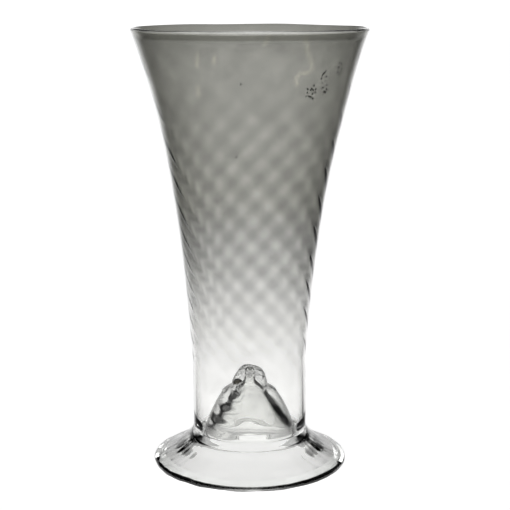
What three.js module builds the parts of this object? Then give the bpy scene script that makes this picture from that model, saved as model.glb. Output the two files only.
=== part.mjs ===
import * as THREE from 'three';
import { mergeVertices } from 'three/addons/utils/BufferGeometryUtils.js';

// A spiral-ribbed beer glass: a trumpet bowl blown in a ribbed mould and twisted, its base
// pushed up into a kick that ends in a knob, standing on an applied foot with a folded edge.
// Millimetres, +Z up, the origin on the table under the middle of the foot.

// The whole glass.
const height = 200;
const rimDiameter = 105.6;
const waistDiameter = 52.2;
const footDiameter = 89.4;

// The bowl: straight above the waist, then a flare that opens faster and faster.
const waistTop = 50.4;
const flareStraightShare = 0.41;
const flarePower = 2.6;
const wallAtWaist = 2.3;
const wallAtRim = 1.3;
const lipThickness = 1.9;
const lipHeight = 3;
const bowlRowHeight = 7;

// The ribs: pressed by the mould, then wound round the bowl by the twist.
const ribCount = 17;
const ribDepthInside = 0.35;
const ribDepthOutside = 0.12;
const ribTwistDegrees = 285;
const ribTwistEase = 0.13;
const ribFadeHeight = 58;
const rimFadeHeight = 60;
const rimRibShare = 0.25;

// The seats where the hot pieces were joined.
const bowlSeatHeight = 16;
const kickSeatHeight = 10;
const meltGap = 0.3;

// The kick and its knob.
const kickMouthDiameter = 43.6;
const channelDepth = 1.6;
const kickShoulderHeight = 33.8;
const kickShoulderDiameter = 24.4;
const knobSeatHeight = 36.6;
const knobDiameter = 15.8;
const knobNeckDiameter = 16.2;
const knobHeight = 9;
const kickRibDepth = 0.2;
const cavityNeckDiameter = 6.2;
const cavityTipDiameter = 3.6;
const cavityTipHeight = 43.2;
const terraceWidth = 1.3;
const scarDiameter = 2.2;
const scarLength = 1.7;

// The foot and the fold under its edge.
const footEdgeThickness = 1.7;
const hollowLipHeight = 0.9;
const foldThickness = 1.6;
const foldWidth = 4.4;
const standingRingWidth = 1.8;

// How finely the round forms are cut.
const facetsPerRib = 4;
const kickFacetsPerRib = 3;
const footFacets = 54;
const smallFacets = 28;

const glassColour = 0xc4c5be;
const footColour = 0xdedfda;
const scarColour = 0x9a9b94;

const rimRadius = rimDiameter / 2;
const waistRadius = waistDiameter / 2;
const footRadius = footDiameter / 2;
const kickMouthRadius = kickMouthDiameter / 2;
const channelRadius = waistRadius - wallAtWaist;
const knobTop = knobSeatHeight + knobHeight;

const point = (radius, z) => new THREE.Vector2(radius, z);

function smoothStep(low, high, value) {
  const t = THREE.MathUtils.clamp((value - low) / (high - low), 0, 1);
  return t * t * (3 - 2 * t);
}

function bowlRadiusAt(z) {
  const t = Math.max(0, (z - waistTop) / (height - waistTop));
  const opening = rimRadius - waistRadius;
  const straight = flareStraightShare * t;
  const curled = (1 - flareStraightShare) * t ** flarePower;
  return waistRadius + opening * (straight + curled);
}

function wallAt(z) {
  const t = (z - bowlSeatHeight) / (height - bowlSeatHeight);
  const wall = THREE.MathUtils.lerp(wallAtWaist, wallAtRim, t);
  const lip = smoothStep(height - 2 * lipHeight, height - lipHeight / 2, z);
  return THREE.MathUtils.lerp(wall, lipThickness, lip);
}

// The ribs start above the seat, are deepest at mid-height and were stretched thin at the rim.
function ribShareAt(z) {
  const rise = smoothStep(bowlSeatHeight, bowlSeatHeight + ribFadeHeight, z);
  const stretch = smoothStep(height - rimFadeHeight, height - lipHeight, z);
  return z > height - lipHeight ? 0 : rise * THREE.MathUtils.lerp(1, rimRibShare, stretch);
}

// The twist winds faster near the waist, where the glass stayed hot and narrow the longest.
function twistAt(z) {
  const t = (z - bowlSeatHeight) / (height - bowlSeatHeight);
  const eased = t + ribTwistEase * t * (1 - t);
  return -THREE.MathUtils.degToRad(ribTwistDegrees) * eased;
}

// Turns a closed profile of points round the Z axis.
function turned(profile, facets) {
  const geometry = new THREE.LatheGeometry(profile, facets);
  geometry.rotateX(Math.PI / 2);
  return geometry;
}

// Winds the columns of a turned shape round the axis and raises every rib's crest.
// crests holds, for each profile point, how far a crest stands out (or in, when negative).
function wound(geometry, crests, facetsInRib) {
  const position = geometry.getAttribute('position');
  for (let index = 0; index < position.count; index += 1) {
    const column = Math.floor(index / crests.length);
    const crest = crests[index % crests.length];
    const wave = 0.5 + 0.5 * Math.cos((2 * Math.PI * (column % facetsInRib)) / facetsInRib);
    const x = position.getX(index);
    const y = position.getY(index);
    const z = position.getZ(index);
    const radius = Math.hypot(x, y) + crest * wave;
    const angle = Math.atan2(y, x) + twistAt(z);
    position.setXYZ(index, radius * Math.cos(angle), radius * Math.sin(angle), z);
  }
  return geometry;
}

function glassMesh(name, geometry, color) {
  geometry.deleteAttribute('normal');
  geometry.deleteAttribute('uv');
  const merged = mergeVertices(geometry);
  merged.computeVertexNormals();
  const material = new THREE.MeshStandardMaterial({ color, roughness: 0.04, metalness: 0 });
  material.name = name;
  const mesh = new THREE.Mesh(merged, material);
  mesh.name = name;
  return mesh;
}

// The ribbed wall, from the flat seat at the waist to the fire-polished lip and back down.
function makeBowl() {
  const lipBase = height - lipHeight;
  const rows = Math.round((lipBase - bowlSeatHeight) / bowlRowHeight);
  const outside = [];
  const inside = [];
  for (let row = 0; row <= rows; row += 1) {
    const z = THREE.MathUtils.lerp(bowlSeatHeight, lipBase, row / rows);
    const radius = bowlRadiusAt(z);
    outside.push({ point: point(radius, z), crest: ribDepthOutside * ribShareAt(z) });
    inside.unshift({ point: point(radius - wallAt(z), z), crest: -ribDepthInside * ribShareAt(z) });
  }
  const lip = lipPoints().map((p) => ({ point: p, crest: 0 }));
  const loop = [...outside, ...lip, ...inside];
  loop.push(loop[0]);
  const profile = loop.map((entry) => entry.point);
  const crests = loop.map((entry) => entry.crest);
  const geometry = wound(turned(profile, ribCount * facetsPerRib), crests, facetsPerRib);
  return glassMesh('bowl', geometry, glassColour);
}

// The lip is a half-round bead across the wall, leaning out with the flare.
function lipPoints() {
  const radius = lipThickness / 2;
  const centre = point(rimRadius - radius, height - radius);
  return [0, 45, 90, 135, 180].map((degrees) => {
    const angle = THREE.MathUtils.degToRad(degrees);
    return point(centre.x + radius * Math.cos(angle), centre.y + radius * Math.sin(angle));
  });
}

// The pushed-in base: a cone on a flange, with a round shoulder under the knob.
function makeKick() {
  const shoulderRadius = kickShoulderDiameter / 2;
  const flangeRadius = channelRadius - meltGap;
  const channelFloor = bowlSeatHeight - channelDepth;
  const rise = kickShoulderHeight - channelFloor;
  const outward = (share) => THREE.MathUtils.lerp(shoulderRadius, flangeRadius, share);
  const outside = new THREE.SplineCurve([
    point(outward(0.88), channelFloor),
    point(outward(0.75), channelFloor + 0.12 * rise),
    point(outward(0.64), channelFloor + 0.3 * rise),
    point(outward(0.48), channelFloor + 0.52 * rise),
    point(outward(0.27), channelFloor + 0.75 * rise),
    point(shoulderRadius, kickShoulderHeight),
    point(knobNeckDiameter / 2, knobSeatHeight),
  ]).getPoints(9);
  const flange = [point(flangeRadius, kickSeatHeight), point(flangeRadius, channelFloor + 0.2)];
  const loop = [...flange, ...outside, ...cavityProfile()];
  loop.push(loop[0]);
  const crests = loop.map((p, index) => {
    const ribbed = index > flange.length && index < flange.length + outside.length - 1;
    const fade = smoothStep(channelFloor, channelFloor + 0.3 * rise, p.y);
    return ribbed ? kickRibDepth * fade * smoothStep(knobSeatHeight, channelFloor, p.y) : 0;
  });
  const geometry = wound(turned(loop, ribCount * kickFacetsPerRib), crests, kickFacetsPerRib);
  return glassMesh('kick', geometry, footColour);
}

// The cavity under the kick, from the knob's seat down to its mouth: a straight cone that
// opens a little at the mouth, with two narrow terraces pressed in by the tool.
function cavityProfile() {
  const neckRadius = cavityNeckDiameter / 2;
  const spread = kickMouthRadius - neckRadius;
  const rise = knobSeatHeight - kickSeatHeight;
  const at = (share, step) => point(
    neckRadius + share * spread + step * terraceWidth,
    knobSeatHeight - (share * (1.03 - 0.03 * share)) * rise,
  );
  return [
    at(0, 0), at(0.16, 0), at(0.34, -0.3), at(0.37, 0.3), at(0.48, 0), at(0.64, -0.3),
    at(0.67, 0.3), at(0.79, 0), at(0.92, 0), at(1, 0),
  ];
}

// The knob left on top where the tool lifted the base, hollow up to the cavity's tip.
function makeKnob() {
  const tipRadius = cavityTipDiameter / 2;
  const neckRadius = cavityNeckDiameter / 2;
  const fullRadius = knobDiameter / 2;
  const dome = new THREE.SplineCurve([
    point(knobNeckDiameter / 2, knobSeatHeight),
    point(fullRadius, knobSeatHeight + 0.36 * knobHeight),
    point(0.92 * fullRadius, knobSeatHeight + 0.68 * knobHeight),
    point(0.6 * fullRadius, knobSeatHeight + 0.93 * knobHeight),
    point(0, knobTop),
  ]).getPoints(12);
  const inside = [
    point(0, cavityTipHeight),
    point(tipRadius, cavityTipHeight),
    point(tipRadius, knobSeatHeight + 0.2 * knobHeight),
    point(neckRadius, knobSeatHeight),
  ];
  dome[dome.length - 1] = point(0, knobTop);
  return glassMesh('kick_knob', turned([...inside, ...dome], smallFacets), footColour);
}

// The broken stub of the pontil rod's glass, stuck to the flat end of the cavity's tip.
function makePontilScar() {
  const radius = scarDiameter / 2;
  const profile = [
    point(0, cavityTipHeight - scarLength),
    point(0.45 * radius, cavityTipHeight - 0.92 * scarLength),
    point(0.8 * radius, cavityTipHeight - 0.55 * scarLength),
    point(0.7 * radius, cavityTipHeight - 0.3 * scarLength),
    point(radius, cavityTipHeight),
    point(0, cavityTipHeight),
  ];
  return glassMesh('pontil_scar', turned(profile, 12), scarColour);
}

// The applied foot: stepped seats for the bowl and the kick, a bell on top, a hollow below.
function makeFoot() {
  const edgeBase = foldThickness;
  const edgeTop = foldThickness + footEdgeThickness;
  const edgeRound = footEdgeThickness / 2;
  const foldInner = footRadius - foldWidth;
  const hollowTop = kickSeatHeight - hollowLipHeight;
  const bell = new THREE.CubicBezierCurve(
    point(waistRadius, bowlSeatHeight),
    point(waistRadius + 1.5, bowlSeatHeight - 3.4),
    point(footRadius - 10.7, edgeTop + 2.6),
    point(footRadius - 1.2 * edgeRound, edgeTop + 0.2),
  ).getPoints(10);
  const hollow = new THREE.CubicBezierCurve(
    point(foldInner - 0.5, edgeBase + 0.4),
    point(foldInner - 6, edgeBase + 0.9),
    point(kickMouthRadius + 5.2, hollowTop - 2.6),
    point(kickMouthRadius + 0.5, hollowTop),
  ).getPoints(7);
  const loop = [
    ...hollow,
    point(kickMouthRadius, kickSeatHeight - 0.4 * hollowLipHeight),
    point(kickMouthRadius, kickSeatHeight),
    point(channelRadius, kickSeatHeight),
    point(channelRadius, bowlSeatHeight),
    ...bell,
    point(footRadius, edgeBase + edgeRound),
    point(footRadius - 0.25 * edgeRound, edgeBase),
  ].reverse();
  loop.push(loop[0]);
  return glassMesh('foot', turned(loop, footFacets), footColour);
}

// The fold: the foot's edge turned under, flattened where the glass stands on the table.
function makeFold() {
  const outer = footRadius - 0.25 * (footEdgeThickness / 2);
  const inner = footRadius - foldWidth;
  const ringMiddle = footRadius - foldWidth / 2;
  const ringOuter = ringMiddle + standingRingWidth / 2;
  const ringInner = ringMiddle - standingRingWidth / 2;
  const loop = [
    point(inner, foldThickness),
    point(inner - 0.25, 0.62 * foldThickness),
    point(inner + 0.25, 0.25 * foldThickness),
    point(ringInner, 0),
    point(ringOuter, 0),
    point(outer - 0.55, 0.22 * foldThickness),
    point(outer, 0.6 * foldThickness),
    point(outer, foldThickness),
  ];
  loop.push(loop[0]);
  return glassMesh('foot_fold', turned(loop, footFacets), footColour);
}

const blownBody = new THREE.Group();
blownBody.add(makeBowl(), makeKick(), makeKnob(), makePontilScar());

const appliedFoot = new THREE.Group();
appliedFoot.add(makeFoot(), makeFold());

const beerGlass = new THREE.Group();
beerGlass.add(blownBody, appliedFoot);

export default beerGlass;
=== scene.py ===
"""Beer glass of blown, spirally ribbed soda glass: its looks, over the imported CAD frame.

The glass is made in stages that melt to each other, and each stage is a piece of its own here:

* the blown body: the ribbed, twisted bowl, the kick pushed up into it, the knob on the kick and
  the broken pontil stub inside the knob;
* the applied foot: the bell-shaped foot and its edge, folded under.

The glass's fields are in millimetres and the studio's in metres. The glass stands on z = 0 and its
axis is the z axis. Where two stages meet, both pieces end in the same seat. The seat's faces let
light straight through, so that the eye sees one body of glass, as in the real thing.
"""

import logging
import math
from collections.abc import Callable, Iterable
from dataclasses import dataclass, field
from enum import Enum

import bmesh
import bpy
from mathutils import Matrix, Vector, noise


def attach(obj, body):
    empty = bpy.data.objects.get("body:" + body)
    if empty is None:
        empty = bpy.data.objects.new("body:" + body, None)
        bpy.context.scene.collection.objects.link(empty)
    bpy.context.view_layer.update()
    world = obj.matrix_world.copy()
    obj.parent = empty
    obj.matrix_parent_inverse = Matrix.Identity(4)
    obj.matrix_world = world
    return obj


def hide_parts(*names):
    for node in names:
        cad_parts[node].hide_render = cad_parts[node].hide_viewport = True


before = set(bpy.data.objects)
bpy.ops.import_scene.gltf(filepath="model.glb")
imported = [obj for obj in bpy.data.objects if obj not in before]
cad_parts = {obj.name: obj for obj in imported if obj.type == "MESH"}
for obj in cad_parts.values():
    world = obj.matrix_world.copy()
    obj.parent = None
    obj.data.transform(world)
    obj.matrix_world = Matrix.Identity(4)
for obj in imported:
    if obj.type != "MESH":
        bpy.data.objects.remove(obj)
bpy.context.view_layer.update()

log = logging.getLogger("beer_glass")

MM = 0.001
ROOT = "root"
RIB_LAYER = "rib"
CORD_LAYER = "cord"
WHITE = "#ffffff"
# two places nearer to each other than this are one, in millimetres
NEAR = 0.01
# mesh points nearer to each other than this are merged, in metres
MERGE = 1e-7
# the radius at which a wave of unevenness has its true length, in millimetres
WAVE_RADIUS = 20.0
# nearly all values of a noise texture lie between these
NOISE_LOW, NOISE_HIGH = 0.3, 0.7

# settings that several nodes share
ADD = {"operation": "ADD"}
MULTIPLY = {"operation": "MULTIPLY"}
LARGER = {"operation": "MAXIMUM"}
SCALE = {"operation": "SCALE"}
DOT = {"operation": "DOT_PRODUCT"}
EASED = {"interpolation_type": "SMOOTHSTEP"}
NUMBERS = {"data_type": "FLOAT"}
COLOURS = {"data_type": "RGBA"}

Point = tuple[float, float]
Segment = tuple[Point, Point]
Shaper = Callable[[float, float, float], Point]
Source = bpy.types.Node | bpy.types.NodeSocket | float | tuple[float, ...]


class Surface(Enum):
    """The kinds of surface that a stage of glass has, by material slot."""

    OPEN = 0
    SEAT = 1
    TRAPPED = 2


class Side(Enum):
    """The side of the wall that a point lies on, with its sign for thickening the wall."""

    INSIDE = -1
    OUTSIDE = 1


class Skin(Enum):
    """The skin of the foot that a point lies on."""

    BELL = 1
    HOLLOW = 2


class Grain(Enum):
    """The slow unevenness of one surface. The number keeps its waves apart from the others'."""

    KICK_HOLLOW = 3.0
    STUB = 4.0
    SPOKES = 5.0
    KICK_SKIN = 7.0
    SWELLS = 11.0
    FOOT_EDGE = 23.0
    SEED_RING = 31.0
    SEED = 37.0
    RIM = 41.0


def linear(code: str) -> tuple[float, float, float, float]:
    """Turns an sRGB colour to a linear one, by the standard's own curve.

    Args:
        code: six hex digits after a hash mark.

    Returns:
        Red, green, blue and an alpha of 1, each from 0 to 1.
    """
    parts = [int(code[i : i + 2], 16) / 255 for i in (1, 3, 5)]
    red, green, blue = (c / 12.92 if c <= 0.04045 else ((c + 0.055) / 1.055) ** 2.4 for c in parts)
    return red, green, blue, 1.0


def add_node(
    tree: bpy.types.NodeTree,
    kind: str,
    settings: dict[str, object] | None = None,
    inputs: dict[str | int, Source] | None = None,
) -> bpy.types.Node:
    """Adds one node with its settings and links.

    Args:
        tree: the node tree that it goes into.
        kind: the node's type name, after ShaderNode.
        settings: the node's properties by name.
        inputs: what each input reads, by the input's name or number: a plain value, an output, or
            a node, which stands for the first of its outputs in use.

    Returns:
        The new node.
    """
    node = tree.nodes.new(f"ShaderNode{kind}")
    for name, value in (settings or {}).items():
        setattr(node, name, value)
    for name, source in (inputs or {}).items():
        if isinstance(source, bpy.types.Node):
            source = next(output for output in source.outputs if output.enabled)
        if isinstance(source, bpy.types.NodeSocket):
            tree.links.new(source, node.inputs[name])
        else:
            node.inputs[name].default_value = source
    return node


def new_material(name: str) -> tuple[bpy.types.Material, bpy.types.NodeTree]:
    """Makes an empty node material.

    Args:
        name: the material's name.

    Returns:
        The material and its node tree.
    """
    material = bpy.data.materials.new(name)
    material.use_nodes = True
    material.node_tree.nodes.clear()
    return material, material.node_tree


def smooth_step(low: float, high: float, value: float) -> float:
    """Eases from 0 at low to 1 at high.

    Args:
        low: where the rise starts. It may be above high, and then the value falls with height.
        high: where it ends.
        value: the place asked for.

    Returns:
        A share from 0 to 1.
    """
    share = min(max((value - low) / (high - low), 0.0), 1.0)
    return share * share * (3 - 2 * share)


def curve_through(points: Iterable[Point], steps: int) -> list[Point]:
    """Draws a smooth curve through some points, as a Catmull-Rom spline.

    Args:
        points: radius and height of each point, in millimetres.
        steps: the number of pieces between two points.

    Returns:
        The curve's points, both ends among them.
    """
    knots = [Vector(p) for p in points]
    drawn: list[Point] = []
    for i in range(len(knots) - 1):
        before, start = knots[max(i - 1, 0)], knots[i]
        end, after = knots[i + 1], knots[min(i + 2, len(knots) - 1)]
        for k in range(steps):
            t = k / steps
            bend = (2 * before - 5 * start + 4 * end - after) * t * t
            swing = (3 * start - before - 3 * end + after) * t**3
            place = 0.5 * (2 * start + (end - before) * t + bend + swing)
            drawn.append((max(place.x, 0.0), place.y))
    drawn.append((knots[-1].x, knots[-1].y))
    return drawn


def radius_at(outline: Iterable[Point], z: float) -> float:
    """Reads an outline's radius at a height.

    Args:
        outline: radius and height of points along it, rising or falling, in millimetres.
        z: the height.

    Returns:
        The radius, or the nearest end's beyond the ends.
    """
    points = sorted(outline, key=lambda p: p[1])
    if z <= points[0][1]:
        return points[0][0]
    for (r0, z0), (r1, z1) in zip(points, points[1:], strict=False):
        if z <= z1:
            return r0 + (r1 - r0) * (z - z0) / max(z1 - z0, 1e-6)
    return points[-1][0]


def wander(angle: float, z: float, seed: float, length: float) -> float:
    """Slow unevenness of a hand-worked surface.

    Args:
        angle: the place round the axis, in radians.
        z: the height in millimetres.
        seed: which surface it is.
        length: the length of a wave in millimetres.

    Returns:
        About -1 to 1.
    """
    around = WAVE_RADIUS / length
    place = Vector((math.cos(angle) * around + seed, math.sin(angle) * around, z / length))
    # the noise itself is mostly within half of 1 either way
    return noise.noise(place) * 2


@dataclass(frozen=True)
class SmokyRibbedGlass:
    """Soda glass tinted grey, blown in a ribbed mould and twisted while soft.

    The grey deepens towards the rim and runs out to clear above the kick. Beyond a faint grey of
    the glass itself, this is painted shade: the grey backdrop seen through the glass. The rim is
    painted darker at the back than at the front, and the lip's front is left clear for a painted
    highlight. A rib is thicker glass, so it looks a little darker, and front and back ribs cross
    in a soft lattice.
    """

    name: str = "smoky_soda_glass_rib_blown_painted_shade"
    tints_with_painted_shade: tuple[tuple[float, str], ...] = (
        (20, "#fafaf9"),
        (48, "#f3f3f2"),
        (57, "#ebebea"),
        (67, "#e4e4e2"),
        (76, "#dddddc"),
        (86, "#d7d7d5"),
        (95, "#d0d0ce"),
        (104, "#cbcbc9"),
        (114, "#c5c5c2"),
        (122, "#c3c3bf"),
        (184, "#c3c3bf"),
        (193, "#bcbcb8"),
    )
    rim_back_painted_shade: str = "#8f8f89"
    rim_front_painted_shade: str = "#d2d2ce"
    rim_height: float = 195.0
    rim_fade: float = 2.0
    rim_turn: float = 20.0
    lip_front_painted_highlight: str = "#ffffff"
    lip_height: float = 198.6
    lip_fade: float = 0.6
    cord_tint: str = "#f6f2e2"
    rib_shade: float = 0.10
    streak_length: float = 9.0
    streak_detail: float = 2.0
    streak_shade: float = 0.05
    slant_full: float = 0.3
    slant_low: float = 62.0
    slant_high: float = 108.0
    roughness: float = 0.0
    ior: float = 1.52

    def material(self) -> bpy.types.Material:
        """Builds the material: a tint by height, deeper in the ribs, in clear refracting glass.

        Returns:
            The material.
        """
        material, tree = new_material(self.name)
        place = add_node(tree, "TexCoord").outputs["Object"]
        axes = add_node(tree, "SeparateXYZ", inputs={0: place}).outputs
        # painted shade: the tint greys with height, standing in for the grey backdrop seen through
        # the glass, over the glass's own faint grey
        top = self.tints_with_painted_shade[-1][0]
        height = add_node(tree, "MapRange", inputs={"Value": axes["Z"], "From Max": top * MM})
        ramp = add_node(tree, "ValToRGB", inputs={"Fac": height})
        stops = ramp.color_ramp.elements
        while len(stops) < len(self.tints_with_painted_shade):
            stops.new(0.5)
        for stop, (level, tint) in zip(stops, self.tints_with_painted_shade, strict=True):
            stop.position = level / top
            stop.color = linear(tint)
        front, at_rim, at_lip, tinted = (
            add_node(
                tree,
                "MapRange",
                EASED,
                {"Value": axes[axis], "From Min": low * MM, "From Max": high * MM},
            )
            for axis, low, high in (
                ("Y", self.rim_turn, -self.rim_turn),
                ("Z", self.rim_height, self.rim_height + self.rim_fade),
                ("Z", self.lip_height, self.lip_height + self.lip_fade),
                ("Z", self.slant_low, self.slant_high),
            )
        )
        # painted shade: the rim is painted darker at the back, away from the camera, than at the
        # front
        back_shade, front_shade = linear(self.rim_back_painted_shade), linear(self.rim_front_painted_shade)
        rim = add_node(tree, "Mix", COLOURS, {0: front, "A": back_shade, "B": front_shade})
        rimmed = add_node(tree, "Mix", COLOURS, {0: at_rim, "A": ramp, "B": rim})
        # painted highlight: on the camera's side the lip is left untinted, so the bright room
        # above shines through it as a white line
        clear = add_node(tree, "Math", MULTIPLY, {0: front, 1: at_lip})
        lip_highlight_tint = linear(self.lip_front_painted_highlight)
        lipped = add_node(tree, "Mix", COLOURS, {0: clear, "A": rimmed, "B": lip_highlight_tint})
        # cords of clearer glass, where the batch was badly mixed
        cord = add_node(tree, "Attribute", {"attribute_name": CORD_LAYER}).outputs["Fac"]
        cord_tint = linear(self.cord_tint)
        corded = add_node(tree, "Mix", COLOURS, {0: cord, "A": lipped, "B": cord_tint})
        # thicker glass in each rib lets less light through
        rib = add_node(tree, "Attribute", {"attribute_name": RIB_LAYER}).outputs["Fac"]
        thin, thick = 1.0 + self.rib_shade, 1.0 - self.rib_shade
        depth = add_node(tree, "MapRange", inputs={"Value": rib, "To Min": thin, "To Max": thick})
        # faint streaks of uneven tint, drawn out along the wall as the bubble was swung
        fineness = 1 / (self.streak_length * MM)
        streaks = add_node(
            tree,
            "TexNoise",
            inputs={"Vector": place, "Scale": fineness, "Detail": self.streak_detail},
        )
        uneven = add_node(
            tree,
            "MapRange",
            inputs={
                "Value": streaks,
                "From Min": NOISE_LOW,
                "From Max": NOISE_HIGH,
                "To Min": 1.0 - self.streak_shade,
                "To Max": 1.0 + self.streak_shade,
            },
        )
        both = add_node(tree, "Math", MULTIPLY, {0: depth, 1: uneven})
        tint = add_node(tree, "VectorMath", SCALE, {0: corded, "Scale": both})
        # a ray that leaves at a slant has crossed more glass and comes out darker; cubing the tint
        # there, more towards the rim, adds painted shade on the bowl's edges
        slant = add_node(tree, "LayerWeight").outputs["Facing"]
        painted_edge_shade = add_node(tree, "MapRange", inputs={"Value": slant, "From Max": self.slant_full})
        deeper = add_node(tree, "Math", MULTIPLY, {0: painted_edge_shade, 1: tinted})
        leaving = add_node(tree, "NewGeometry").outputs["Backfacing"]
        share = add_node(tree, "Math", MULTIPLY, {0: deeper, 1: leaving})
        twice = add_node(tree, "VectorMath", MULTIPLY, {0: tint, 1: tint})
        edge_shaded_tint = add_node(tree, "VectorMath", MULTIPLY, {0: tint, 1: twice})
        crossed = add_node(tree, "Mix", COLOURS, {0: share, "A": tint, "B": edge_shaded_tint})
        glass = add_node(
            tree,
            "BsdfPrincipled",
            inputs={
                "Base Color": crossed,
                "Transmission Weight": 1.0,
                "Roughness": self.roughness,
                "IOR": self.ior,
            },
        )
        add_node(tree, "OutputMaterial", inputs={"Surface": glass})
        return material


@dataclass(frozen=True)
class ClearGlass:
    """Clear soda glass worked hot: fire-polished, so smooth and mirror bright, faintly corded."""

    name: str
    tint: str
    cord_tint: str
    cord_length: float
    cord_detail: float = 3.0
    roughness: float = 0.0
    ior: float = 1.52
    ripple: float = 0.0
    ripple_length: float = 6.0
    ripple_detail: float = 2.0
    outline_width: float = 0.5
    outline_full: float = 1.0
    outline_tone: float = 0.01

    def material(self) -> bpy.types.Material:
        """Builds the material: clear glass whose tint wanders along its cords.

        Returns:
            The material.
        """
        material, tree = new_material(self.name)
        place = add_node(tree, "TexCoord").outputs["Object"]
        fineness = 1 / (self.cord_length * MM)
        cords = add_node(
            tree,
            "TexNoise",
            inputs={"Vector": place, "Scale": fineness, "Detail": self.cord_detail},
        )
        plain, corded = linear(self.tint), linear(self.cord_tint)
        tint = add_node(tree, "Mix", COLOURS, {0: cords, "A": plain, "B": corded})
        # a clear edge bends the light away from the eye, so its outline is drawn dark
        edge = add_node(tree, "LayerWeight").outputs["Facing"]
        outline = add_node(
            tree,
            "MapRange",
            EASED,
            {
                "Value": edge,
                "From Min": 1.0 - self.outline_width,
                "From Max": self.outline_full,
                "To Min": 1.0,
                "To Max": self.outline_tone,
            },
        )
        edged = add_node(tree, "VectorMath", SCALE, {0: tint, "Scale": outline})
        glass = add_node(
            tree,
            "BsdfPrincipled",
            inputs={
                "Base Color": edged,
                "Transmission Weight": 1.0,
                "Roughness": self.roughness,
                "IOR": self.ior,
            },
        )
        if self.ripple:
            fineness = 1 / (self.ripple_length * MM)
            waves = add_node(
                tree,
                "TexNoise",
                inputs={"Vector": place, "Scale": fineness, "Detail": self.ripple_detail},
            )
            depth = self.ripple * MM
            bump = add_node(
                tree, "Bump", inputs={"Height": waves, "Strength": 1.0, "Distance": depth}
            )
            tree.links.new(bump.outputs["Normal"], glass.inputs["Normal"])
        add_node(tree, "OutputMaterial", inputs={"Surface": glass})
        return material


@dataclass(frozen=True)
class MeltedSeat:
    """The face where two stages of hot glass have melted to each other: nothing is left to see."""

    name: str = "glass_melted_to_glass"

    def material(self) -> bpy.types.Material:
        """Builds the material, which lets light straight through.

        Returns:
            The material.
        """
        material, tree = new_material(self.name)
        add_node(tree, "OutputMaterial", inputs={"Surface": add_node(tree, "BsdfTransparent")})
        return material


@dataclass(frozen=True)
class Form:
    """The glass's main sizes in millimetres.

    They are the CAD's, but for a thinner lip, a thinner wall above the seat and a greater twist,
    with which the lip and the lattice of ribs look like the real ones.
    """

    height: float = 200.0
    waist_radius: float = 26.1
    rim_radius: float = 52.8
    waist_top: float = 50.4
    straight_share: float = 0.41
    flare_power: float = 2.6
    wall_at_seat: float = 2.3
    wall_at_waist: float = 1.5
    wall_at_rim: float = 1.3
    seat_taper: float = 7.0
    lip: float = 1.6
    lip_from_top: Point = (4.0, 1.6)
    ribs: int = 17
    rib_start: Point = (36.0, 90.0)
    rib_fading: Point = (122.0, 180.0)
    rib_loss: float = 0.8
    rib_crowding: float = 0.07
    rib_crowded_at: float = 0.6
    rib_flatness: float = 1.5
    twist: float = 322.0
    twist_ease: float = 0.27
    bowl_seat: float = 16.0
    kick_seat: float = 10.0
    knob_seat: float = 36.6
    fold_seat: float = 1.7
    facets: int = 255
    leans: tuple[Point, ...] = (
        (16.0, 0.0),
        (65.0, -0.45),
        (118.0, -0.15),
        (165.0, 0.45),
        (190.0, 0.0),
    )

    def bowl_radius(self, z: float) -> float:
        """Works out the bowl's outer radius.

        Args:
            z: the height in millimetres.

        Returns:
            The radius there.
        """
        share = max(0.0, (z - self.waist_top) / (self.height - self.waist_top))
        rise = self.rim_radius - self.waist_radius
        flare = self.straight_share * share + (1 - self.straight_share) * share**self.flare_power
        return self.waist_radius + rise * flare

    def wall(self, z: float) -> float:
        """Works out the bowl's wall, thicker at the seat and again at the fire-polished lip.

        Args:
            z: the height in millimetres.

        Returns:
            The thickness there.
        """
        share = (z - self.bowl_seat) / (self.height - self.bowl_seat)
        at_seat = 1 - smooth_step(self.bowl_seat, self.bowl_seat + self.seat_taper, z)
        plain = self.wall_at_waist + (self.wall_at_rim - self.wall_at_waist) * share
        plain += (self.wall_at_seat - self.wall_at_waist) * at_seat
        start, end = self.lip_from_top
        at_lip = smooth_step(self.height - start, self.height - end, z)
        return plain * (1 - at_lip) + self.lip * at_lip

    def lean(self, z: float) -> float:
        """Works out how far the bowl's middle is off the axis.

        Args:
            z: the height in millimetres.

        Returns:
            The shift there, to the right as the camera sees it.
        """
        for (z0, off0), (z1, off1) in zip(self.leans, self.leans[1:], strict=False):
            if z0 <= z < z1:
                return off0 + (off1 - off0) * smooth_step(z0, z1, z)
        return 0.0

    def turn(self, z: float) -> float:
        """How far the ribs have turned at a height, in radians."""
        share = (z - self.bowl_seat) / (self.height - self.bowl_seat)
        return -math.radians(self.twist) * (share + self.twist_ease * share * (1 - share))

    def rib_share(self, z: float) -> float:
        """How strong the ribs are at a height: none at the kick, softened by the rim's fire."""
        return smooth_step(*self.rib_start, z) * (
            1 - self.rib_loss * smooth_step(*self.rib_fading, z)
        )

    def rib_wave(self, angle: float, z: float) -> float:
        """Works out the rib wave: flat-topped, and a little crowded on one side of the mould.

        Args:
            angle: the place round the axis, in radians.
            z: the height in millimetres.

        Returns:
            0 between ribs to 1 on a rib.
        """
        along = angle - self.turn(z)
        crowded = along + self.rib_crowding * math.sin(along + self.rib_crowded_at)
        flat = self.rib_flatness
        return 0.5 + 0.5 * math.tanh(flat * math.cos(self.ribs * crowded)) / math.tanh(flat)


@dataclass(frozen=True)
class Dent:
    """A soft swelling or dent left by the maker's tools: where it is, how wide and how deep."""

    z: float
    angle: float
    tall: float
    wide: float
    depth: float

    def at(self, angle: float, z: float) -> float:
        """How far the dent moves the surface outwards at an angle in radians and a height."""
        off = (math.degrees(angle) - self.angle + 180) % 360 - 180
        return self.depth * math.exp(-((off / self.wide) ** 2) - ((z - self.z) / self.tall) ** 2)


@dataclass(frozen=True)
class Seeds:
    """A seed in the wall, or a ring of seeds: where it is, how wide, tall, slanted, how many."""

    angle: float
    z: float
    wide: float = 0.0
    tall: float = 0.0
    slant: float = 0.0
    count: int = 1


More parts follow.
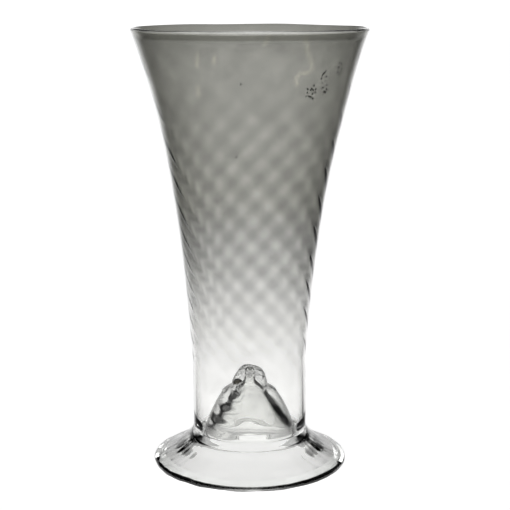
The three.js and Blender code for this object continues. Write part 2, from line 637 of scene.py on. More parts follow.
class Stage:
    """One stage of the glass: a closed profile spun about the axis and then pushed out of true."""

    def __init__(self, name: str, node: str, slot: str, form: Form) -> None:
        """Names the piece.

        Args:
            name: the piece's name in the scene.
            node: the CAD node that it stands for.
            slot: the record's material slot; not used.
            form: the glass's main sizes.
        """
        self.name = name
        self.node = node
        self.slot = slot
        self.form = form

    def spin(self, outline: list[Point], closed: bool) -> bmesh.types.BMesh:
        """Spins an outline once round the axis.

        Args:
            outline: radius and height of the points in order, in millimetres.
            closed: whether the last point joins the first.

        Returns:
            The spun mesh, with its doubles merged and its faces outwards.
        """
        mesh = bmesh.new()
        verts = [mesh.verts.new((r * MM, 0.0, z * MM)) for r, z in outline]
        edges = [mesh.edges.new(pair) for pair in zip(verts, verts[1:], strict=False)]
        if closed:
            edges.append(mesh.edges.new((verts[-1], verts[0])))
        bmesh.ops.spin(
            mesh,
            geom=verts + edges,
            cent=(0, 0, 0),
            axis=(0, 0, 1),
            angle=2 * math.pi,
            steps=self.form.facets,
            use_merge=True,
        )
        bmesh.ops.remove_doubles(mesh, verts=mesh.verts, dist=MERGE)
        bmesh.ops.recalc_face_normals(mesh, faces=mesh.faces)
        return mesh

    def lies_on(self, vert: bmesh.types.BMVert, seat: Segment) -> bool:
        """Tells whether a mesh point lies on a seat.

        Args:
            vert: the mesh point.
            seat: the seat's ends as radius and height, in millimetres.

        Returns:
            Whether it lies there.
        """
        (r0, z0), (r1, z1) = seat
        r, z = math.hypot(vert.co.x, vert.co.y) / MM, vert.co.z / MM
        across = abs((r1 - r0) * (z - z0) - (z1 - z0) * (r - r0)) / math.hypot(r1 - r0, z1 - z0)
        between_r = min(r0, r1) - NEAR < r < max(r0, r1) + NEAR
        between_z = min(z0, z1) - NEAR < z < max(z0, z1) + NEAR
        return across < NEAR and between_r and between_z

    def mark_seats(self, mesh: bmesh.types.BMesh, seats: list[Segment]) -> None:
        """Gives the faces on the seats their own material and a sharp edge.

        Args:
            mesh: the spun mesh, before anything is pushed out of true.
            seats: the seats' ends as radius and height, in millimetres.
        """
        for face in mesh.faces:
            face.smooth = True
            if any(all(self.lies_on(vert, seat) for vert in face.verts) for seat in seats):
                face.material_index = Surface.SEAT.value
        for edge in mesh.edges:
            edge.smooth = len({face.material_index for face in edge.link_faces}) < 2

    def push(
        self, mesh: bmesh.types.BMesh, shaper: Shaper, lean: Callable[[float], float] | None = None
    ) -> None:
        """Moves each point in radius and height, and to the side where the piece leans.

        Args:
            mesh: the mesh to shape.
            shaper: gives the new radius and height from the radius, angle and height.
            lean: gives the shift to the right at a height, in millimetres.
        """
        for vert in mesh.verts:
            r, angle = math.hypot(vert.co.x, vert.co.y) / MM, math.atan2(vert.co.y, vert.co.x)
            new_r, new_z = shaper(r, angle, vert.co.z / MM)
            side = lean(new_z) if lean else 0.0
            place = Vector((new_r * math.cos(angle) + side, new_r * math.sin(angle), new_z))
            vert.co = place * MM

    def add_bubble(
        self, mesh: bmesh.types.BMesh, shape: Matrix, fineness: int, surface: Surface
    ) -> None:
        """Adds a bubble inside the glass.

        Args:
            mesh: the mesh of the glass round it.
            shape: turns a ball of radius 1 into the bubble, in metres.
            fineness: how often the ball's faces are divided.
            surface: the kind of surface that the bubble has.
        """
        made = bmesh.ops.create_icosphere(mesh, subdivisions=fineness, radius=1.0, matrix=shape)
        faces = {face for vert in made["verts"] for face in vert.link_faces}
        for face in faces:
            face.smooth = True
            face.material_index = surface.value
        # the glass ends at the bubble, so its faces look into it
        bmesh.ops.reverse_faces(mesh, faces=list(faces))

    def finish(
        self, mesh: bmesh.types.BMesh, materials: list[bpy.types.Material]
    ) -> bpy.types.Object:
        """Makes the object, dresses it and ties it to the frame.

        Args:
            mesh: the finished mesh.
            materials: the open surface's material, then the seats' and the trapped air's, where
                there are some.

        Returns:
            The new piece.
        """
        data = bpy.data.meshes.new(self.name)
        mesh.to_mesh(data)
        mesh.free()
        for material in materials:
            data.materials.append(material)
        piece = bpy.data.objects.new(self.name, data)
        bpy.context.scene.collection.objects.link(piece)
        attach(piece, ROOT)
        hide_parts(self.node)
        log.info("%s: %d faces, stands for %s", self.name, len(data.polygons), self.node)
        return piece


@dataclass
class BlownBody:
    """The blown part: bowl, kick, knob and pontil scar."""

    form: Form = field(default_factory=Form)
    rows: int = 118
    rows_below_top: float = 2.0
    # how far from the bowl's outside a point is still on its wall, and on its outer skin
    bowl_reach: float = 3.2
    skin_reach: float = 0.6
    inside_ribs: float = 0.16
    outside_ribs: float = 0.06
    lip_inset: float = 0.1
    lip_turn: int = 15
    rim_dip: float = 0.3
    rim_dips: Point = (190.0, 199.0)
    rim_dip_length: float = 9.0
    kick_outside: tuple[Point, ...] = (
        (23.8, 16.0),
        (23.4, 15.0),
        (22.5, 14.4),
        (21.5, 14.7),
        (20.6, 16.8),
        (19.4, 20.3),
        (17.6, 24.4),
        (15.2, 29.0),
        (13.1, 32.2),
        (11.6, 33.9),
        (10.4, 35.3),
        (9.4, 36.6),
    )
    kick_inside: tuple[Point, ...] = (
        (3.15, 36.6),
        (6.2, 32.3),
        (9.2, 28.0),
        (12.3, 23.6),
        (15.3, 19.3),
        (17.9, 15.6),
        (19.7, 13.0),
        (21.0, 11.4),
        (22.3, 10.0),
    )
    kick_inside_left: tuple[Point, ...] = (
        (3.2, 36.6),
        (5.0, 33.4),
        (6.0, 31.2),
        (8.3, 29.0),
        (9.4, 26.6),
        (11.9, 24.0),
        (13.1, 21.4),
        (15.6, 18.9),
        (16.7, 16.4),
        (19.3, 13.6),
        (21.0, 11.4),
        (22.3, 10.0),
    )
    # how much of its steps the rest of the hollow has, and where round the axis its left begins
    left_elsewhere: float = 0.1
    left_turn: Point = (0.25, 0.9)
    knob_outside: tuple[Point, ...] = (
        (9.4, 36.6),
        (8.5, 37.6),
        (7.9, 38.8),
        (7.6, 39.8),
        (7.0, 41.7),
        (5.8, 43.4),
        (4.1, 44.7),
        (2.1, 45.4),
        (0.0, 45.6),
    )
    knob_inside: tuple[Point, ...] = (
        (0.0, 43.3),
        (1.2, 43.0),
        (1.85, 42.2),
        (1.8, 40.2),
        (2.1, 38.3),
        (3.15, 36.6),
    )
    stub: tuple[Point, ...] = (
        (0.0, 41.4),
        (0.5, 41.5),
        (1.0, 41.9),
        (0.8, 42.3),
        (1.3, 42.7),
        (0.7, 43.1),
        (0.0, 43.15),
    )
    # the stub is snapped off: how much of its radius is left, and the chips' depth and length
    chip_mean: float = 0.82
    chip_depth: float = 0.14
    chip_length: float = 0.9
    seeds: tuple[Seeds, ...] = (
        Seeds(-99.0, 147.1),
        Seeds(-95.0, 178.3),
        Seeds(-154.0, 195.3),
    )
    seed_rings: tuple[Seeds, ...] = (
        Seeds(-55.0, 174.2, 3.6, 4.8, 0.1, 14),
        Seeds(-47.0, 178.8, 3.0, 8.0, -0.35, 13),
        Seeds(-36.0, 183.4, 3.4, 5.0, -0.4, 7),
    )
    ring_swell: float = 0.4
    ring_swell_length: float = 6.0
    seed_size: float = 0.42
    seed_swell: float = 0.3
    seed_swell_length: float = 3.0
    seed_stretch: float = 1.25
    cords: tuple[tuple[Point, ...], ...] = (
        (
            (-64.0, 197.4),
            (-61.0, 190.4),
            (-58.0, 186.8),
            (-57.0, 183.6),
            (-61.0, 182.4),
            (-65.0, 181.8),
            (-66.0, 180.2),
            (-65.0, 178.0),
        ),
        ((-116.0, 189.8), (-117.0, 185.6)),
        ((-107.0, 189.4), (-108.0, 186.6)),
        ((-119.0, 176.2), (-119.0, 172.8)),
        ((-82.0, 197.6), (-83.0, 194.4)),
    )
    cord_width: float = 1.15
    dents: tuple[Dent, ...] = (
        Dent(36.2, 180.0, 1.1, 40.0, -1.5),
        Dent(36.2, 0.0, 1.1, 40.0, -1.5),
        Dent(33.6, 180.0, 1.1, 42.0, 0.8),
        Dent(34.0, 0.0, 1.0, 40.0, 0.5),
        Dent(42.4, 180.0, 2.0, 45.0, -0.8),
    )
    wander_depth: float = 0.03
    wander_length: float = 7.0
    # heights over which the unevenness comes in or goes out, and the same by radius at the tips
    hollow_starts: Point = (10.0, 11.5)
    hollow_ends: Point = (42.6, 41.0)
    skin_starts: Point = (15.0, 19.0)
    tip_still: Point = (0.0, 3.0)
    air: tuple[float, float, float] = (-4.7, -1.6, 37.4)
    air_size: tuple[float, float, float] = (2.2, 1.5, 1.5)
    air_tilt: float = -22.0
    smoky: SmokyRibbedGlass = field(default_factory=SmokyRibbedGlass)
    # pushed in and left in the fire: bright, with a dark outline where it curves away
    clear: ClearGlass = field(
        default_factory=lambda: ClearGlass(
            name="clear_soda_glass_pushed_in",
            tint="#fdfdfc",
            cord_tint="#f8f9f7",
            cord_length=7.0,
            outline_width=0.82,
            outline_full=0.85,
        )
    )
    # painted shade: the air bell's skin is painted dark, for the dark spot that the bubble makes
    # in the clear knob
    painted_dark_air_bell: ClearGlass = field(
        default_factory=lambda: ClearGlass(
            name="painted_dark_skin_of_trapped_air",
            tint="#77736a",
            cord_tint="#5a564f",
            cord_length=1.5,
            outline_width=0.9,
        )
    )
    # snapped off cold and never polished: it scatters the light and looks frosted
    broken: ClearGlass = field(
        default_factory=lambda: ClearGlass(
            name="clear_soda_glass_snapped_off",
            tint="#eef0ee",
            cord_tint="#dfe3e1",
            cord_length=0.8,
            roughness=0.25,
            ripple=0.25,
            ripple_length=0.7,
        )
    )

    def uneven(self, r: float, angle: float, z: float) -> Point:
        """Pushes a point of the body out of true, the same way for all its stages.

        Args:
            r: radius in millimetres.
            angle: the place round the axis, in radians.
            z: height in millimetres.

        Returns:
            The new radius and height.
        """
        if z > self.rim_dips[0]:
            wave = wander(angle, 0.0, Grain.RIM.value, self.rim_dip_length)
            dip = self.rim_dip * min(max(0.5 + 0.5 * wave, 0.0), 1.0)
            return r, z - dip * smooth_step(*self.rim_dips, z)
        if r < NEAR:
            return r, z
        outer = self.form.bowl_radius(z)
        if z > self.form.bowl_seat + NEAR and r > outer - self.bowl_reach:
            side = Side.OUTSIDE if r > outer - self.skin_reach else Side.INSIDE
            depth = self.outside_ribs if side is Side.OUTSIDE else self.inside_ribs
            share = self.form.rib_share(z) * self.form.rib_wave(angle, z)
            return r + side.value * depth * share, z
        # the two skins from the kick's base to the knob's top, each of its points once
        within = radius_at(self.kick_inside + self.knob_inside[2:], z)
        without = radius_at(self.kick_outside[2:] + self.knob_outside, z)
        if abs(r - within) < abs(r - without):
            wave = wander(angle, z, Grain.KICK_HOLLOW.value, self.wander_length)
            push = self.wander_depth * wave
            if z < self.form.knob_seat:
                # on the left the hollow goes up in steps, which the eye sees as dark wedges
                turned = smooth_step(*self.left_turn, -math.cos(angle))
                left = self.left_elsewhere + (1 - self.left_elsewhere) * turned
                push += left * (radius_at(self.kick_inside_left, z) - within)
            fade = smooth_step(*self.hollow_starts, z) * smooth_step(*self.hollow_ends, z)
        else:
            wave = wander(angle, z, Grain.KICK_SKIN.value, self.wander_length)
            push = sum(dent.at(angle, z) for dent in self.dents) + self.wander_depth * wave
            fade = smooth_step(*self.skin_starts, z)
        return max(r + push * fade * smooth_step(*self.tip_still, r), 0.0), z

    def cord_at(self, angle: float, z: float) -> float:
        """Tells how pale the wall is at a place, where a cord of clearer glass runs through it.

        Args:
            angle: the place round the axis, in radians.
            z: the height in millimetres.

        Returns:
            0 away from the cords to 1 on one.
        """
        radius = self.form.bowl_radius(z)
        here = Vector((angle * radius, z))
        pale = 0.0
        for cord in self.cords:
            points = [Vector((math.radians(a) * radius, h)) for a, h in cord]
            for start, end in zip(points, points[1:], strict=False):
                along = (here - start).dot(end - start) / (end - start).length_squared
                nearest = start + (end - start) * min(max(along, 0.0), 1.0)
                pale = max(pale, 1 - (here - nearest).length / self.cord_width)
        return pale

    def bowl(self, seat: bpy.types.Material) -> bpy.types.Object:
        """Builds the ribbed bowl with its lip.

        Args:
            seat: the material of melted seats.

        Returns:
            The bowl.
        """
        form = self.form
        low, high = form.bowl_seat, form.height - self.rows_below_top
        levels = [low + (high - low) * i / self.rows for i in range(self.rows + 1)]
        outside = [(form.bowl_radius(z), z) for z in levels]
        half = form.lip / 2
        middle_r, middle_z = form.rim_radius - half - self.lip_inset, form.height - half
        turns = [math.radians(a) for a in range(0, 181, self.lip_turn)]
        lip = [(middle_r + half * math.cos(a), middle_z + half * math.sin(a)) for a in turns]
        inside = [(form.bowl_radius(z) - form.wall(z), z) for z in reversed(levels)]
        stage = Stage("bowl_wall", "bowl", "smoky_ribbed_glass", form)
        mesh = stage.spin(outside + lip + inside, closed=True)
        stage.mark_seats(mesh, [(inside[-1], outside[0])])
        ribs = mesh.verts.layers.float.new(RIB_LAYER)
        pale = mesh.verts.layers.float.new(CORD_LAYER)
        for vert in mesh.verts:
            z, angle = vert.co.z / MM, math.atan2(vert.co.y, vert.co.x)
            vert[ribs] = 0.5 + (form.rib_wave(angle, z) - 0.5) * form.rib_share(z)
            if vert.co.xy.length > (form.bowl_radius(z) - self.skin_reach) * MM:
                vert[pale] = self.cord_at(angle, z)
        stage.push(mesh, self.uneven, form.lean)
        self.trap_seeds(stage, mesh)
        return stage.finish(mesh, [self.smoky.material(), seat])

    def trap_seeds(self, stage: Stage, mesh: bmesh.types.BMesh) -> None:
        """Adds the seeds, small bubbles that the bowl's wall froze round, alone or in rings.

        Args:
            stage: the bowl's stage.
            mesh: the bowl's mesh.
        """
        spots = [(seed.angle, seed.z) for seed in self.seeds]
        for ring in self.seed_rings:
            for k in range(ring.count):
                turn = 2 * math.pi * k / ring.count
                wave = wander(turn, ring.z, Grain.SEED_RING.value, self.ring_swell_length)
                swell = 1 + self.ring_swell * wave
                across = 0.5 * ring.wide * swell * math.cos(turn)
                up = 0.5 * ring.tall * swell * math.sin(turn)
                across += ring.slant * up
                radius = self.form.bowl_radius(ring.z + up)
                spots.append((ring.angle + math.degrees(across / radius), ring.z + up))
        for degrees, z in spots:
            angle = math.radians(degrees)
            middle = self.form.bowl_radius(z) - 0.5 * self.form.wall(z)
            right = middle * math.cos(angle) + self.form.lean(z)
            place = Matrix.Translation(Vector((right, middle * math.sin(angle), z)) * MM)
            wave = wander(angle, z, Grain.SEED.value, self.seed_swell_length)
            size = self.seed_size * (1 + self.seed_swell * wave)
            tall = self.seed_stretch * size
            shape = Matrix.Diagonal((size * MM, size * MM, tall * MM, 1.0))
            stage.add_bubble(mesh, place @ shape, 2, Surface.OPEN)

    def kick(self, seat: bpy.types.Material, clear: bpy.types.Material) -> bpy.types.Object:
        """Builds the kick: the base of the bubble, pushed up into a hollow cone.

        Args:
            seat: the material of melted seats.
            clear: the kick's glass.

        Returns:
            The kick.
        """
        outside = curve_through(self.kick_outside, steps=7)
        inside = curve_through(self.kick_inside, steps=7)
        base = (self.kick_outside[0][0], self.form.kick_seat)
        stage = Stage("kick_cone", "kick", "clear_kick_glass", self.form)
        mesh = stage.spin(outside + inside + [base], closed=True)
        seats = [(base, inside[-1]), (base, outside[0]), (outside[-1], inside[0])]
        stage.mark_seats(mesh, seats)
        stage.push(mesh, self.uneven)
        return stage.finish(mesh, [clear, seat])

    def knob(self, seat: bpy.types.Material, clear: bpy.types.Material) -> bpy.types.Object:
        """Builds the knob of glass on the kick's top, hollow up to the tool's tip.

        Args:
            seat: the material of melted seats.
            clear: the kick's glass.

        Returns:
            The knob.
        """
        outside = curve_through(self.knob_outside, steps=8)
        inside = curve_through(self.knob_inside, steps=6)
        stage = Stage("kick_knob_gather", "kick_knob", "clear_kick_glass", self.form)
        # both ends lie on the axis, so the profile is one open run: hollow, seat, skin
        mesh = stage.spin(inside + outside, closed=False)
        stage.mark_seats(mesh, [(inside[-1], outside[0])])
        stage.push(mesh, self.uneven)
        # the air bell trapped beside the tool's hole when the gather closed round it
        shape = Matrix.Diagonal((*(size * MM for size in self.air_size), 1.0))
        tilt = Matrix.Rotation(math.radians(self.air_tilt), 4, "Y")
        place = Matrix.Translation(Vector(self.air) * MM)
        stage.add_bubble(mesh, place @ tilt @ shape, 4, Surface.TRAPPED)
        return stage.finish(mesh, [clear, seat, self.painted_dark_air_bell.material()])

    def scar(self) -> bpy.types.Object:
        """Builds the broken stub that the pontil rod left in the tip of the hollow.

        Returns:
            The stub.
        """
        stage = Stage("pontil_stub", "pontil_scar", "broken_pontil_glass", self.form)
        mesh = stage.spin(curve_through(self.stub, steps=4), closed=False)
        stage.mark_seats(mesh, [])

        def chipped(r: float, angle: float, z: float) -> Point:
            """Breaks the round into chips."""
            wave = wander(angle, z, Grain.STUB.value, self.chip_length)
            return r * (self.chip_mean + self.chip_depth * wave), z

        stage.push(mesh, chipped)
        return stage.finish(mesh, [self.broken.material()])

    def build(self, seat: bpy.types.Material) -> list[bpy.types.Object]:
        """Builds all the blown pieces.

        Args:
            seat: the material of melted seats.

        Returns:
            The pieces in the order they are made.
        """
        clear = self.clear.material()
        return [self.bowl(seat), self.kick(seat, clear), self.knob(seat, clear), self.scar()]


@dataclass
class AppliedFoot:
    """The foot: a bell of clear glass under the body, its edge folded under."""

    form: Form = field(default_factory=Form)
    bell: tuple[Point, ...] = (
        (26.1, 16.0),
        (26.9, 14.9),
        (28.4, 12.7),
        (30.9, 10.4),
        (34.8, 7.1),
        (39.5, 4.4),
        (43.0, 3.15),
    )
    hollow: tuple[Point, ...] = (
        (38.0, 1.7),
        (35.5, 2.5),
        (31.0, 4.4),
        (27.8, 6.1),
        (25.4, 7.8),
        (23.8, 9.0),
        (22.3, 10.0),
    )
    fold_under: tuple[Point, ...] = ((42.0, 0.0), (40.6, 0.25), (39.2, 0.95), (38.0, 1.7))
    edge_middle: Point = (43.05, 1.58)
    edge_radius: float = 1.58
    edge_top: float = 88.0
    edge_base: float = -90.0
    # the seats stay true: the wrinkles come in over these radii and these heights
    still_round_kick: Point = (22.3, 26.5)
    still_at_seat: Point = (16.0, 13.5)
    # a point halfway between the foot's two skins, and how steeply that middle falls outwards
    wall_middle: Point = (22.3, 13.0)
    wall_fall: float = 0.53
    wrinkle: float = 0.04
    spoke_pitch: float = 0.12
    spoke_length: float = 1.8
    swell_share: float = 1.5
    swell_pitch: float = 0.3
    swell_length: float = 14.0
    edge_starts: Point = (40.0, 43.0)
    edge_wander: float = 0.14
    edge_length: float = 3.0
    # drawn out with tools: streaky, with a firm dark outline at its ends
    clear: ClearGlass = field(
        default_factory=lambda: ClearGlass(
            name="clear_soda_glass_tooled",
            tint="#f8f8f7",
            cord_tint="#f1f1ef",
            cord_length=9.0,
            outline_width=0.66,
            outline_full=0.88,
        )
    )
    # folded under while soft: thicker and a little green, with a painted shade where one looks
    # along it
    folded: ClearGlass = field(
        default_factory=lambda: ClearGlass(
            name="clear_soda_glass_folded_edge",
            tint="#f6f7f5",
            cord_tint="#e2e5e0",
            cord_length=3.0,
            outline_tone=0.4,
        )
    )

    def uneven(self, r: float, angle: float, z: float) -> Point:
        """Pushes a point of the foot out of true, the same way for both stages.

        Args:
            r: radius in millimetres.
            angle: the place round the axis, in radians.
            z: height in millimetres.

        Returns:
            The new radius and height.
        """
        fade = smooth_step(*self.still_round_kick, r) * smooth_step(*self.still_at_seat, z)
        if fade == 0.0:
            return r, z
        edge_z = self.edge_middle[1]
        middle = self.wall_middle[1] - (r - self.wall_middle[0]) * self.wall_fall
        skin = Skin.BELL if z > max(middle, edge_z) else Skin.HOLLOW
        # wrinkles run from the waist to the edge, as the tools drew the soft foot out
        seed = Grain.SPOKES.value * skin.value
        spoke = wander(angle, r * self.spoke_pitch, seed, self.spoke_length)
        seed = Grain.SWELLS.value * skin.value
        swell = wander(angle, r * self.swell_pitch, seed, self.swell_length)
        at_edge = smooth_step(*self.edge_starts, r)
        push = self.wrinkle * (spoke + self.swell_share * swell) * (1 - at_edge)
        # the edge was folded by eye, so it is thicker here and thinner there
        wave = wander(angle, 0.0, Grain.FOOT_EDGE.value, self.edge_length)
        thick = self.edge_wander * wave * at_edge
        lift = thick * (z - edge_z) / self.edge_radius
        return r + 0.5 * thick, max(z + push * fade + lift, 0.0)

    def edge_arc(self, end: float, steps: int) -> list[Point]:
        """Draws the round of the foot's edge, from the fold's seat up or down.

        Args:
            end: how far above level the round ends, in degrees.
            steps: the number of pieces.

        Returns:
            Radius and height of its points, in millimetres.
        """
        middle_r, middle_z = self.edge_middle
        start = math.asin((self.form.fold_seat - middle_z) / self.edge_radius)
        turns = [start + (math.radians(end) - start) * i / steps for i in range(steps + 1)]
        return [
            (middle_r + self.edge_radius * math.cos(a), middle_z + self.edge_radius * math.sin(a))
            for a in turns
        ]

    def foot(self, seat: bpy.types.Material) -> bpy.types.Object:
        """Builds the bell of the foot.

        Args:
            seat: the material of melted seats.

        Returns:
            The foot.
        """
        form = self.form
        edge = self.edge_arc(self.edge_top, steps=7)
        bell = curve_through(self.bell, steps=9)
        hollow = curve_through(self.hollow, steps=9)
        inner_wall = form.waist_radius - form.wall_at_seat
        low, high = (inner_wall, form.kick_seat), (inner_wall, form.bowl_seat)
        stage = Stage("foot_bell", "foot", "clear_foot_glass", form)
        # the edge's last point lies by the bell's, so it is left out
        outline = hollow + [low, high] + bell + list(reversed(edge))[1:]
        mesh = stage.spin(outline, closed=True)
        seats = [(hollow[-1], low), (low, high), (high, bell[0]), (edge[0], hollow[0])]
        stage.mark_seats(mesh, seats)
        stage.push(mesh, self.uneven)
        return stage.finish(mesh, [self.clear.material(), seat])

    def fold(self, seat: bpy.types.Material) -> bpy.types.Object:
        """Builds the edge that is folded under, on which the glass stands.

        Args:
            seat: the material of melted seats.

        Returns:
            The fold.
        """
        edge = self.edge_arc(self.edge_base, steps=9)
        under = curve_through(self.fold_under, steps=6)
        stage = Stage("foot_edge_fold", "foot_fold", "clear_foot_glass", self.form)
        mesh = stage.spin(edge + under, closed=True)
        stage.mark_seats(mesh, [(under[-1], edge[0])])
        stage.push(mesh, self.uneven)
        return stage.finish(mesh, [self.folded.material(), seat])

    def build(self, seat: bpy.types.Material) -> list[bpy.types.Object]:
        """Builds the foot's pieces: the foot and its fold."""
        return [self.foot(seat), self.fold(seat)]


@dataclass
class Studio:
    """A pale floor, a white room lit softly from all round, and the camera.

    Seen straight or through the glass, the room is white to a little above the horizon. What the
    glass throws back is a darker room, which has one wide window, a dim ceiling and a lamp.
    """

    floor_size: float = 6.0
    floor_sides: int = 96
    floor_colour: str = "#e7e7e7"
    floor_glow: float = 0.96
    painted_glow_through_glass: float = 1.22
    painted_light_floor: Point = (0.050, 0.075)
    painted_shadow_floor: Point = (0.030, 0.046)
    shade: float = 0.93
    room_glow: float = 1.15
    room_edge: Point = (8.0, 20.0)
    room_dark: float = 0.02
    other_light: float = 0.08
    high_edge: Point = (20.0, 32.0)
    high_glow: float = 3.0
    ceiling_edge: Point = (20.0, 35.0)
    ceiling_glow: float = 0.12
    window_turn: float = -3.0
    window_edge: Point = (45.0, 11.0)
    near_window_edge: Point = (56.0, 34.0)
    near_window_floor: Point = (0.32, 0.416)
    lamp_rise: float = 62.0
    lamp_edge: Point = (28.0, 18.0)
    lamp_glow: float = 0.8
    # more bounces than this: thrown back by glass; fewer skins than this: one wall or none
    bounced: float = 0.5
    one_wall: float = 2.5
    distance: float = 0.602
    camera_height: float = 0.2198
    tilt: float = 11.5
    picture: int = 510
    focal_pixels: float = 1346.0
    axis_pixel: float = 249.8
    sensor: float = 36.0
    nearest: float = 0.01

    def seen(self, tree: bpy.types.NodeTree) -> bpy.types.Node:
        """Tells whether a ray comes from the camera, a reflection or through glass.

        Args:
            tree: the node tree that asks.

        Returns:
            A node that gives 1 for such a ray.
        """
        path = add_node(tree, "LightPath").outputs
        plain = add_node(
            tree, "Math", LARGER, {0: path["Is Camera Ray"], 1: path["Is Glossy Ray"]}
        )
        return add_node(tree, "Math", LARGER, {0: plain, 1: path["Is Transmission Ray"]})

    def thrown(self, tree: bpy.types.NodeTree) -> bpy.types.Node:
        """A node that gives 1 for a ray that a surface has thrown back on its way."""
        depth = add_node(tree, "LightPath").outputs["Glossy Depth"]
        return add_node(tree, "Math", {"operation": "GREATER_THAN"}, {0: depth, 1: self.bounced})

    def plainly(self, tree: bpy.types.NodeTree) -> bpy.types.Node:
        """A node that gives 1 for a ray that has crossed one wall of glass, two skins, or none."""
        depth = add_node(tree, "LightPath").outputs["Transmission Depth"]
        return add_node(tree, "Math", {"operation": "LESS_THAN"}, {0: depth, 1: self.one_wall})

    def window(self, tree: bpy.types.NodeTree, direction: Source, edge: Point) -> bpy.types.Node:
        """Tells how much of the window's light comes from a direction.

        Args:
            tree: the node tree that asks.
            direction: the direction, seen from the glass.
            edge: how far from straight behind it is dark and fully lit, in degrees.

        Returns:
            A node that gives nearly 0 in the dark of the room to 1 at the window.
        """
        turn = math.radians(self.window_turn)
        middle = (math.sin(turn), math.cos(turn), 0.0)
        toward = add_node(tree, "VectorMath", DOT, {0: direction, 1: middle})
        dark, full = (math.cos(math.radians(degrees)) for degrees in edge)
        return add_node(
            tree,
            "MapRange",
            EASED,
            {"Value": toward, "From Min": dark, "From Max": full, "To Min": self.room_dark},
        )

    def paper(self) -> bpy.types.Material:
        """Builds the floor's material: matt paper, which glows as far as the eye sees it.

        The glow makes it white, and leaves the shadow that the glass throws on it. The glow
        also holds painted light and a painted shadow: it is dimmed under the glass, glows brighter
        through several walls of glass and, in what the glass throws back, is lit only near the
        glass and towards the window.

        Returns:
            The material.
        """
        material, tree = new_material("matt_white_paper")
        paper = add_node(tree, "BsdfDiffuse", inputs={"Color": linear(self.floor_colour)})
        place = add_node(tree, "NewGeometry").outputs["Position"]
        outward = add_node(tree, "VectorMath", {"operation": "NORMALIZE"}, {0: place})
        away = add_node(tree, "VectorMath", {"operation": "LENGTH"}, {0: place})
        # rounds of the floor about the glass: 1 within, and falling to 0 at the edge
        falling = {"Value": away, "To Min": 1.0, "To Max": 0.0}
        bright, painted_shadow_round, close = (
            add_node(tree, "MapRange", inputs={**falling, "From Min": low, "From Max": high})
            for low, high in (self.painted_light_floor, self.painted_shadow_floor, self.near_window_floor)
        )
        # painted light: in what the glass throws back, the floor glows as if lit, near the glass
        # and towards the window
        far_painted_light = self.window(tree, outward, self.window_edge)
        near_painted_light = self.window(tree, outward, self.near_window_edge)
        lit = add_node(tree, "Mix", NUMBERS, {0: close, "A": far_painted_light, "B": near_painted_light})
        either = add_node(tree, "Math", LARGER, {0: lit, 1: bright})
        share = add_node(tree, "Mix", NUMBERS, {0: self.thrown(tree), "A": 1.0, "B": either})
        # painted light: the floor glows brighter where it is seen through several walls of glass
        dimmer = add_node(tree, "Math", LARGER, {0: self.plainly(tree), 1: painted_shadow_round})
        white = add_node(
            tree, "Mix", NUMBERS, {0: dimmer, "A": self.painted_glow_through_glass, "B": self.floor_glow}
        )
        # painted shadow: under the glass the floor's glow is dimmed
        shade = add_node(
            tree, "MapRange", inputs={"Value": painted_shadow_round, "To Min": 1.0, "To Max": self.shade}
        )
        dimmed = add_node(tree, "Math", MULTIPLY, {0: white, 1: shade})
        strength = add_node(tree, "Math", MULTIPLY, {0: share, 1: dimmed})
        glow = add_node(tree, "Math", MULTIPLY, {0: self.seen(tree), 1: strength})
        light = add_node(tree, "Emission", inputs={"Color": linear(WHITE), "Strength": glow})
        both = add_node(tree, "AddShader", inputs={0: paper, 1: light})
        add_node(tree, "OutputMaterial", inputs={"Surface": both})
        return material

    def floor(self) -> None:
        """Builds the floor, which keeps the object's shadow and looks white."""
        mesh = bmesh.new()
        bmesh.ops.create_circle(
            mesh, cap_ends=True, segments=self.floor_sides, radius=self.floor_size
        )
        data = bpy.data.meshes.new("floor")
        mesh.to_mesh(data)
        mesh.free()
        data.materials.append(self.paper())
        floor = bpy.data.objects.new("floor", data)
        bpy.context.scene.collection.objects.link(floor)

    def light(self) -> None:
        """Builds the light: the white room that is seen, and the darker one thrown back."""
        world = bpy.data.worlds.new("studio")
        bpy.context.scene.world = world
        world.use_nodes = True
        tree = world.node_tree
        tree.nodes.clear()
        sky = add_node(tree, "TexCoord").outputs["Generated"]
        up = add_node(tree, "SeparateXYZ", inputs={0: sky}).outputs["Z"]
        thrown = self.thrown(tree)
        level, high, ceiling = (
            add_node(
                tree,
                "MapRange",
                EASED,
                {
                    "Value": up,
                    "From Min": math.sin(math.radians(edge[0])),
                    "From Max": math.sin(math.radians(edge[1])),
                    "To Min": below,
                    "To Max": above,
                },
            )
            for edge, below, above in (
                (self.room_edge, self.room_glow, 0.0),
                (self.high_edge, 0.0, self.high_glow),
                (self.ceiling_edge, 0.0, self.ceiling_glow),
            )
        )
        # light that the glass throws back comes from the room, which has one wide window
        window = self.window(tree, sky, self.window_edge)
        side = add_node(tree, "Mix", NUMBERS, {0: thrown, "A": 1.0, "B": window})
        strength = add_node(tree, "Math", MULTIPLY, {0: level, 1: side})
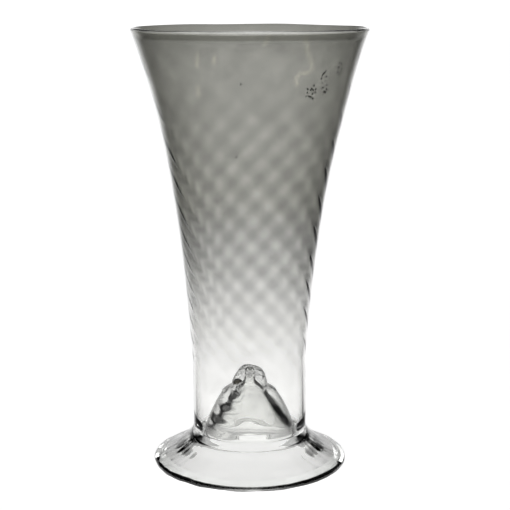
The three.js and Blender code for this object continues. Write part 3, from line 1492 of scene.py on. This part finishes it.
        # a soft lamp high behind the glass, which only its polished edges throw back
        rise = math.radians(self.lamp_rise)
        toward = add_node(
            tree, "VectorMath", DOT, {0: sky, 1: (0.0, math.cos(rise), math.sin(rise))}
        )
        dark, full = (math.cos(math.radians(degrees)) for degrees in self.lamp_edge)
        lamp = add_node(
            tree,
            "MapRange",
            EASED,
            {"Value": toward, "From Min": dark, "From Max": full, "To Max": self.lamp_glow},
        )
        overhead = add_node(tree, "Math", LARGER, {0: lamp, 1: ceiling})
        gleam = add_node(tree, "Math", MULTIPLY, {0: overhead, 1: thrown})
        # the white upper room, which is seen plainly or through one wall
        upper = add_node(tree, "Math", MULTIPLY, {0: high, 1: self.plainly(tree)})
        straight = add_node(tree, "Mix", NUMBERS, {0: thrown, "A": upper, "B": 0.0})
        overall = add_node(tree, "Math", ADD, {0: gleam, 1: straight})
        whole = add_node(tree, "Math", ADD, {0: strength, 1: overall})
        room, even = (
            add_node(tree, "Background", inputs={"Color": linear(WHITE), "Strength": glow})
            for glow in (whole, self.other_light)
        )
        choose = add_node(tree, "MixShader", inputs={0: self.seen(tree), 1: even, 2: room})
        add_node(tree, "OutputWorld", inputs={"Surface": choose})

    def camera(self) -> None:
        """Places the camera at the photograph's angle."""
        data = bpy.data.cameras.new("camera")
        data.sensor_width = self.sensor
        data.lens = self.sensor * self.focal_pixels / self.picture
        data.shift_x = (self.picture / 2 - self.axis_pixel) / self.picture
        data.clip_start = self.nearest
        camera = bpy.data.objects.new("camera", data)
        bpy.context.scene.collection.objects.link(camera)
        camera.location = (0.0, -self.distance, self.camera_height)
        camera.rotation_euler = (math.radians(90 - self.tilt), 0.0, 0.0)
        bpy.context.scene.camera = camera

    def build(self) -> None:
        """Sets the stage."""
        bpy.context.scene.view_settings.view_transform = "Standard"
        self.camera()
        self.floor()
        self.light()


def main() -> None:
    """Builds the glass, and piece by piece."""
    logging.basicConfig(level=logging.INFO, format="%(name)s: %(message)s")
    Studio().build()
    seat = MeltedSeat().material()
    pieces = [*BlownBody().build(seat), *AppliedFoot().build(seat)]
    log.info("%d pieces", len(pieces))


if __name__ == "__main__":
    main()
